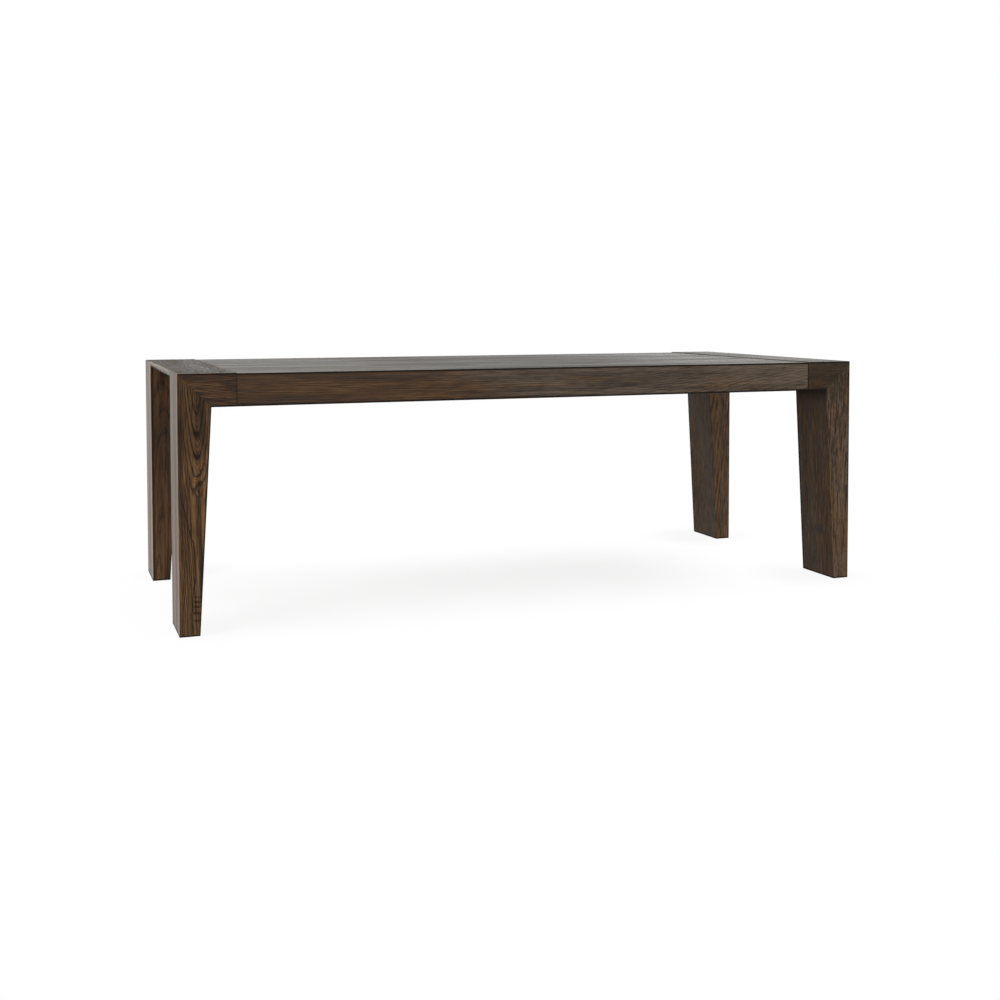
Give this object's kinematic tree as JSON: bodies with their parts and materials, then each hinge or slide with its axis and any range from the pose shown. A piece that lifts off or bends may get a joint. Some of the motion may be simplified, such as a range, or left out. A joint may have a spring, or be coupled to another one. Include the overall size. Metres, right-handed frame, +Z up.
{
  "type": "dining table",
  "caption": "Long dark oak dining table with flush aprons, cross-grain end boards and mitred slab legs that taper on their inner face.",
  "frame": {"origin": "on the floor, under the middle of the table", "axes": "+X along the table's length, +Y from the front to the rear, +Z up"},
  "size_m": [2.286, 1.016, 0.762],
  "materials": {
    "dark_oak": "satin lacquer over smoked oak",
    "inner_wood": "plain planed wood",
    "beech": "plain beech",
    "zinc_steel": "zinc plated",
    "black_steel": "black zinc plated",
    "insert_brass": "plain",
    "pad_nylon": "matt nylon"
  },
  "bodies": {
    "table": {"dowels": "beech", "front_apron": "dark_oak", "glue_blocks": "inner_wood", "joint_bolts": "black_steel", "joint_nuts": "black_steel", "joint_washers": "black_steel", "left_end_board": "dark_oak", "left_end_rail": "dark_oak", "left_front_corner_arm": "dark_oak", "left_front_leg_foot_block": "inner_wood", "left_front_leg_head_block": "inner_wood", "left_front_leg_inner_panel": "dark_oak", "left_front_leg_inward_panel": "dark_oak", "left_front_leg_outer_panel": "dark_oak", "left_front_leg_outward_panel": "dark_oak", "left_inner_bearer": "inner_wood", "left_middle_rail": "inner_wood", "left_outer_bearer": "inner_wood", "left_rear_corner_arm": "dark_oak", "left_rear_leg_foot_block": "inner_wood", "left_rear_leg_head_block": "inner_wood", "left_rear_leg_inner_panel": "dark_oak", "left_rear_leg_inward_panel": "dark_oak", "left_rear_leg_outer_panel": "dark_oak", "left_rear_leg_outward_panel": "dark_oak", "leveller_inserts": "insert_brass", "mitre_splines": "beech", "rear_apron": "dark_oak", "right_end_board": "dark_oak", "right_end_rail": "dark_oak", "right_front_corner_arm": "dark_oak", "right_front_leg_foot_block": "inner_wood", "right_front_leg_head_block": "inner_wood", "right_front_leg_inner_panel": "dark_oak", "right_front_leg_inward_panel": "dark_oak", "right_front_leg_outer_panel": "dark_oak", "right_front_leg_outward_panel": "dark_oak", "right_inner_bearer": "inner_wood", "right_middle_rail": "inner_wood", "right_outer_bearer": "inner_wood", "right_rear_corner_arm": "dark_oak", "right_rear_leg_foot_block": "inner_wood", "right_rear_leg_head_block": "inner_wood", "right_rear_leg_inner_panel": "dark_oak", "right_rear_leg_inward_panel": "dark_oak", "right_rear_leg_outer_panel": "dark_oak", "right_rear_leg_outward_panel": "dark_oak", "top_panel": "dark_oak", "top_screws": "zinc_steel"},
    "left_front_pad": {"left_front_leveller_pad": "pad_nylon"},
    "left_front_stem": {"left_front_leveller_stem": "zinc_steel"},
    "right_front_pad": {"right_front_leveller_pad": "pad_nylon"},
    "right_front_stem": {"right_front_leveller_stem": "zinc_steel"},
    "left_rear_pad": {"left_rear_leveller_pad": "pad_nylon"},
    "left_rear_stem": {"left_rear_leveller_stem": "zinc_steel"},
    "right_rear_pad": {"right_rear_leveller_pad": "pad_nylon"},
    "right_rear_stem": {"right_rear_leveller_stem": "zinc_steel"}
  },
  "joints": [
    {"name": "left_front_pad_slide", "type": "slide", "parent": "table", "child": "left_front_pad", "axis": [0, 0, -1], "range_m": [0, 0.012]},
    {"name": "left_front_stem_turn", "type": "hinge", "parent": "left_front_pad", "child": "left_front_stem", "pos_m": [-1.1135, -0.412, 0], "axis": [0, 0, -1], "range_deg": [0, 3456]},
    {"name": "right_front_pad_slide", "type": "slide", "parent": "table", "child": "right_front_pad", "axis": [0, 0, -1], "range_m": [0, 0.012]},
    {"name": "right_front_stem_turn", "type": "hinge", "parent": "right_front_pad", "child": "right_front_stem", "pos_m": [1.1135, -0.412, 0], "axis": [0, 0, -1], "range_deg": [0, 3456]},
    {"name": "left_rear_pad_slide", "type": "slide", "parent": "table", "child": "left_rear_pad", "axis": [0, 0, -1], "range_m": [0, 0.012]},
    {"name": "left_rear_stem_turn", "type": "hinge", "parent": "left_rear_pad", "child": "left_rear_stem", "pos_m": [-1.1135, 0.412, 0], "axis": [0, 0, -1], "range_deg": [0, 3456]},
    {"name": "right_rear_pad_slide", "type": "slide", "parent": "table", "child": "right_rear_pad", "axis": [0, 0, -1], "range_m": [0, 0.012]},
    {"name": "right_rear_stem_turn", "type": "hinge", "parent": "right_rear_pad", "child": "right_rear_stem", "pos_m": [1.1135, 0.412, 0], "axis": [0, 0, -1], "range_deg": [0, 3456]}
  ],
  "couplings": [
    {"joint": "left_front_pad_slide", "follows": "left_front_stem_turn", "m_per_rad": 0.00019894},
    {"joint": "right_front_pad_slide", "follows": "right_front_stem_turn", "m_per_rad": 0.00019894},
    {"joint": "left_rear_pad_slide", "follows": "left_rear_stem_turn", "m_per_rad": 0.00019894},
    {"joint": "right_rear_pad_slide", "follows": "right_rear_stem_turn", "m_per_rad": 0.00019894}
  ]
}
